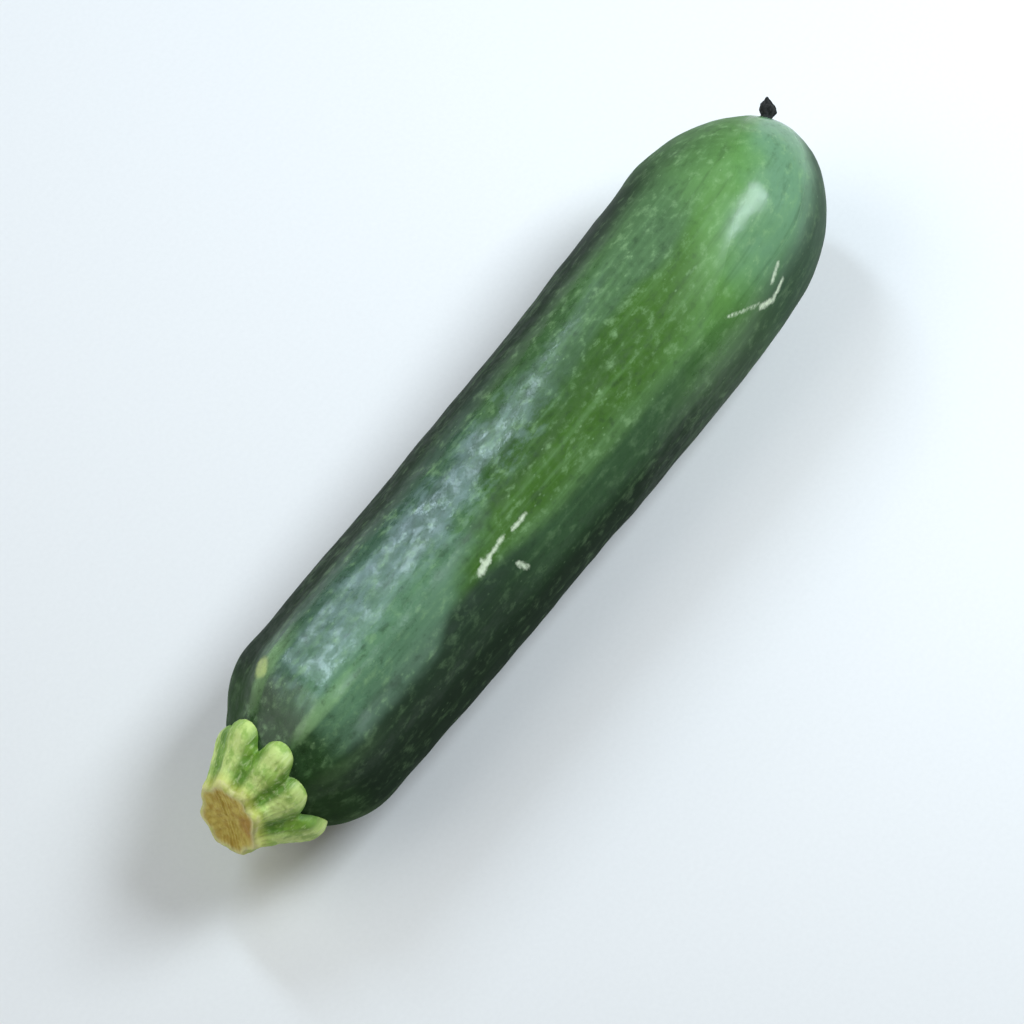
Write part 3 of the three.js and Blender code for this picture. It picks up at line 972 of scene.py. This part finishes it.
# %% Dried cut of the stem
OCHRE = tint(178, 148, 52)
PALE_OCHRE = tint(206, 188, 88)
BROWN = tint(166, 122, 30)
PALE_RIM = tint(226, 226, 168)
BROWN_SIDE = -5.0
BROWN_UP = 2.4
FIBRE_DEPTH = 0.3 * MM
ochre = flesh.noise(stem_grown, 0.55, 4.0, 0.6)
cut = flesh.soft(flesh.plus(climbed, flesh.times(ochre, 0.5)), 1.38, 1.12)
cut_colour = flesh.mix(flesh.soft(ochre, 0.3, 0.7), OCHRE, PALE_OCHRE)
stem_side, stem_up = flesh.split(stem_grown)[1:]
beside_spot = flesh.math("POWER", flesh.plus(stem_side, -BROWN_SIDE), 2.0)
above_spot = flesh.math("POWER", flesh.plus(stem_up, -BROWN_UP), 2.0)
from_spot = flesh.plus(beside_spot, above_spot)
cut_colour = flesh.mix(flesh.soft(from_spot, 12.0, 1.0, 0, 0.8), cut_colour, BROWN)
cut_colour = flesh.mix(flesh.soft(climbed, 0.8, 1.0, 0, 0.7), cut_colour, PALE_RIM)
stem_colour = flesh.mix(cut, stem_colour, cut_colour)
flesh.feed(flesh.shader.inputs["Base Color"], stem_colour)
flesh.shader.inputs["Roughness"].default_value = 0.55
flesh.feed(flesh.shader.inputs["Normal"], flesh.bump(fibre, FIBRE_DEPTH, 0.7))
flesh.cover(stem)
flesh.report("dried cut")

# %% Dried flower
DRIED_BLACK = tint(11, 12, 9)
DUST_GREY = tint(52, 51, 44)
WITHER_DEPTH = 0.3 * MM
dried = Finish("dried_flower")
dried_grown = dried.attribute("grown", "Vector")
dust = dried.noise(dried_grown, 1.4, 4.0, 0.65)
dried_colour = dried.mix(dried.soft(dust, 0.45, 0.75), DRIED_BLACK, DUST_GREY)
dried.feed(dried.shader.inputs["Base Color"], dried_colour)
dried.shader.inputs["Roughness"].default_value = 0.8
dried.feed(dried.shader.inputs["Normal"], dried.bump(dust, WITHER_DEPTH, 0.8))
dried.cover(remnant)
dried.report("dust and creases")

# %% [markdown]
# ## Putting the pieces in the frame
#
# The three pieces stand for the three solids. Nothing on a courgette moves, so all ride on one body.

# %% Ride and replace
for piece, node, slot in (
    (fruit, "fruit", "skin"),
    (stem, "stem", "stem"),
    (remnant, "flower_remnant", "dried_flower"),
):
    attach(piece, "root")
    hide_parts(node)
    print(piece.name, "stands for", node)

# %% [markdown]
# ## Floor, light and camera
#
# The courgette lies on plain white paper that runs far out. Soft lights fade with distance, so the
# paper would turn grey further off, and a faint glow that starts well outside the shadow keeps it
# pale. A broad light stands behind the stem. A narrow, slightly blue one draws the long highlight
# down the back, and one in front of the blossom end draws the round highlight there. The pale world
# fills the shadows. The camera looks down steeply from the stem's side, with a long lens.

# %% Floor
FLOOR_SIZE = 6
PAPER = 0.81, 0.785, 0.76, 1
PALE_PAPER = 0.85, 0.825, 0.8, 1
GLOW_COLOUR = 1.0, 0.98, 0.96, 1
GLOW_START = 0.2
GLOW_END = 0.8
GLOW = 0.5
bpy.ops.object.select_all(action="DESELECT")
bpy.ops.mesh.primitive_plane_add(size=FLOOR_SIZE)
floor = bpy.context.object
floor.name = "floor"
paper = Finish("white_paper")
on_paper = paper.step("ShaderNodeTexCoord", {}, "Object")
paper_colour = paper.mix(paper.noise(on_paper, 900.0, 2.0), PAPER, PALE_PAPER)
paper.feed(paper.shader.inputs["Base Color"], paper_colour)
paper.shader.inputs["Roughness"].default_value = 0.9
from_middle = paper.step("ShaderNodeVectorMath", {0: on_paper}, "Value", operation="LENGTH")
glow = paper.soft(from_middle, GLOW_START, GLOW_END, 0.0, GLOW)
paper.feed(paper.shader.inputs["Emission Strength"], glow)
paper.shader.inputs["Emission Color"].default_value = GLOW_COLOUR
paper.cover(floor)
print("floor:", FLOOR_SIZE, "m of paper")

# %% Lights
LIT_POINT = Vector((0, 0, 0.03))
# each light's name, place, length, width, power and colour
LIGHTS = [
    ("sky_light", (-0.6, 0.6, 0.84), 1.0, 1.0, 6.0, (0.94, 0.98, 1.0)),
    ("window_light", (0.146, 0.366, 0.481), 0.07, 0.2, 1.1, (0.66, 0.83, 1.0)),
    ("blossom_light", (0.3, -0.17, 0.46), 0.29, 0.21, 2.9, (0.78, 0.9, 1.0)),
]


def soft_light(name, place, length, width, power, colour):
    bpy.ops.object.light_add(type="AREA", location=place)
    light = bpy.context.object
    light.name = name
    away = (Vector(place) - LIT_POINT).normalized()
    lengthwise = Vector((1, 0, 0)).cross(away).normalized().cross(away) * -1
    light.rotation_euler = Matrix((lengthwise, away.cross(lengthwise), away)).transposed().to_euler()
    light.data.shape = "RECTANGLE"
    light.data.size = length
    light.data.size_y = width
    light.data.energy = power
    light.data.color = colour
    print(name, power, "W")


for light_values in LIGHTS:
    soft_light(*light_values)

# %% Pale world
WORLD_COLOUR = 1.0, 0.98, 0.94, 1
WORLD_STRENGTH = 0.15
world = bpy.data.worlds.new("pale_world")
world.use_nodes = True
background = world.node_tree.nodes["Background"]
background.inputs["Color"].default_value = WORLD_COLOUR
background.inputs["Strength"].default_value = WORLD_STRENGTH
bpy.context.scene.world = world
bpy.context.scene.view_settings.view_transform = "Standard"
print(world.name, "at strength", WORLD_STRENGTH)

# %% Camera
CAMERA_AZIMUTH = math.radians(-52.48)
CAMERA_ELEVATION = math.radians(65)
CAMERA_DISTANCE = 0.8
CAMERA_RIGHT = -0.00228
CAMERA_UP = -0.00834
CAMERA_AIM = Vector((0, 0, 0.024))
LENS = 124.4
SENSOR_WIDTH = 36
bpy.ops.object.camera_add(rotation=(math.pi / 2 - CAMERA_ELEVATION, 0, CAMERA_AZIMUTH))
camera = bpy.context.object
turned = camera.rotation_euler.to_matrix()
camera.location = CAMERA_AIM + turned @ Vector((CAMERA_RIGHT, CAMERA_UP, CAMERA_DISTANCE))
camera.data.lens = LENS
camera.data.sensor_width = SENSOR_WIDTH
bpy.context.scene.camera = camera
print("camera:", LENS, "mm lens at", tuple(round(v, 3) for v in camera.location))
